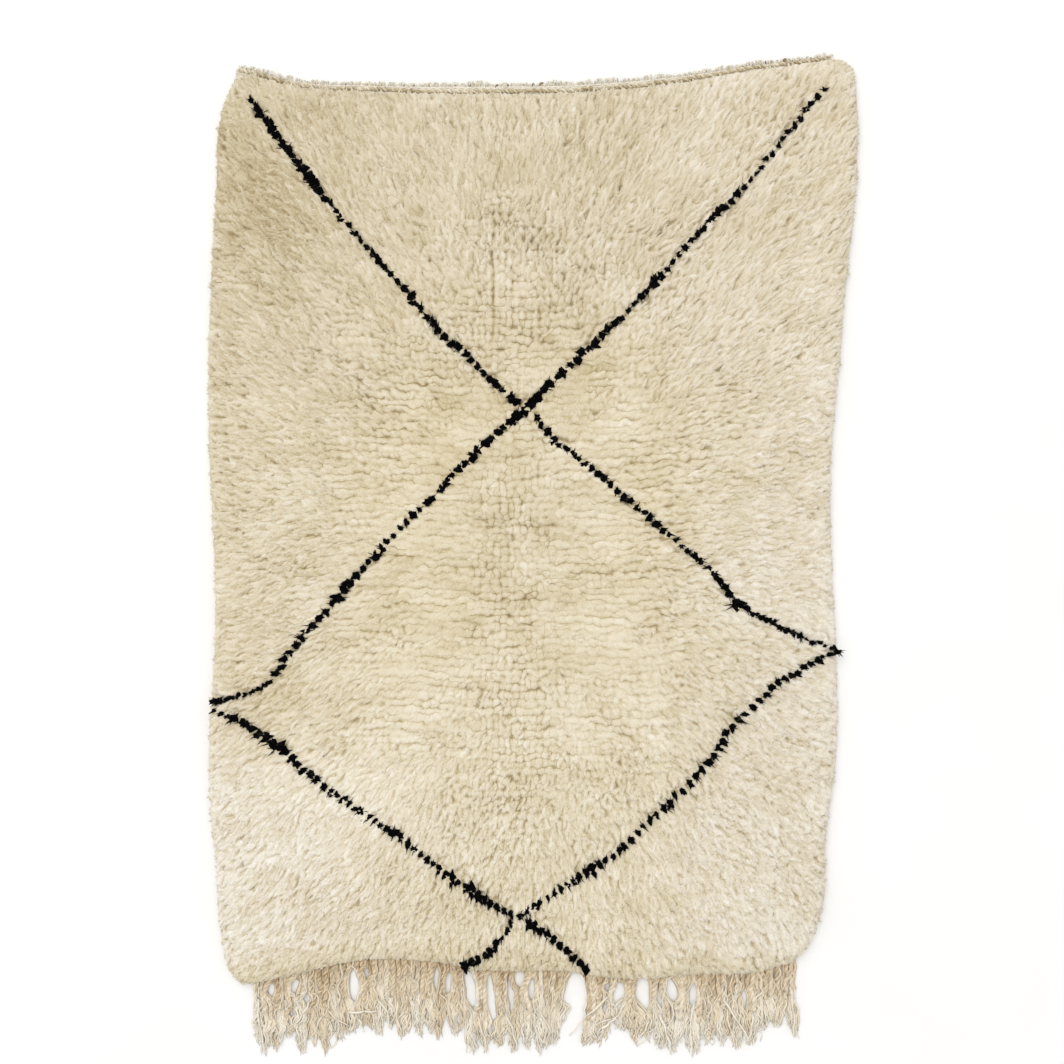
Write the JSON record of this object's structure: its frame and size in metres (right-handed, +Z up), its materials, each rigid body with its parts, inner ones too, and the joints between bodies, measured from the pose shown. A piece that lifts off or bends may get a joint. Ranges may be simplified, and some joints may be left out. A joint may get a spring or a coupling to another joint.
{
  "type": "beni ourain rug",
  "caption": "Small hand-knotted shaggy wool rug, cream with thin black crossing diagonals and a diamond, a flat-woven head end and a plied warp fringe at the foot. Lies flat with its pile up.",
  "frame": {"origin": "under the middle of the rug's bounding box, on the surface that it lies on", "axes": "+Z up out of the pile, +Y from the fringe towards the flat-woven head end, +X to the right with the fringe nearest"},
  "size_m": [1.0044, 1.534, 0.0309],
  "materials": {
    "cream_pile": "matt undyed cream sheep's wool, hand knotted, soft and thick",
    "warp_yarn": "matt natural beige wool yarn, plied and partly frayed"
  },
  "bodies": {
    "root": {"rug_body": "cream_pile", "fringe": "warp_yarn"}
  },
  "joints": []
}
